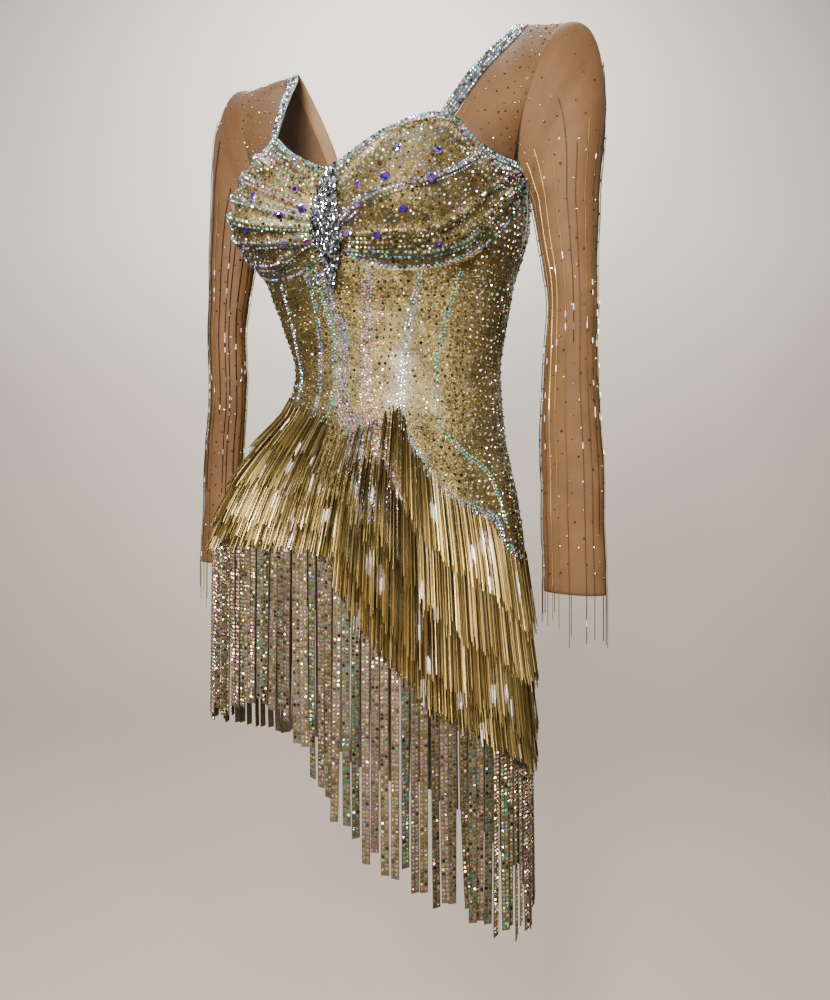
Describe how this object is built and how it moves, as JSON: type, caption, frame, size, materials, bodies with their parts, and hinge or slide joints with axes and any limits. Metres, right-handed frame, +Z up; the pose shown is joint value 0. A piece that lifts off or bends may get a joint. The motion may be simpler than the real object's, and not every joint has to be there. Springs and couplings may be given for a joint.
{
  "type": "latin dance dress",
  "caption": "Fitted latin dance dress as worn, with draped cups, net sleeves, tiers of diagonal bead fringe and a rhinestone strip fringe at the slanting hem.",
  "frame": {"origin": "midway between the two shoulders, level with the tops of the armholes", "axes": "+Z up, the front of the dress faces -Y, and the wearer's left side is +X"},
  "size_m": [0.5085, 0.2901, 0.9536],
  "materials": {
    "gold_stretch": "metallic gold stretch satin with rhinestones",
    "nude_net": "nude power net",
    "rhinestone_band": "rows of crystal rhinestones",
    "brooch_crystal": "faceted crystal cluster",
    "bugle_beads": "gold-lined bugle beads",
    "rhinestone_strips": "cloth strips with rows of rhinestones"
  },
  "bodies": {
    "root": {"body_front": "gold_stretch", "body_back": "gold_stretch", "cup_left": "gold_stretch", "cup_right": "gold_stretch", "strap_left": "rhinestone_band", "strap_right": "rhinestone_band", "yoke_left": "nude_net", "yoke_right": "nude_net", "sleeve_left": "nude_net", "sleeve_right": "nude_net", "bead_fringe_tier_1": "bugle_beads", "bead_fringe_tier_2": "bugle_beads", "bead_fringe_tier_3": "bugle_beads", "bead_fringe_tier_4": "bugle_beads", "strip_fringe": "rhinestone_strips", "sleeve_fringe_left": "bugle_beads", "sleeve_fringe_right": "bugle_beads", "brooch": "brooch_crystal"}
  },
  "joints": []
}
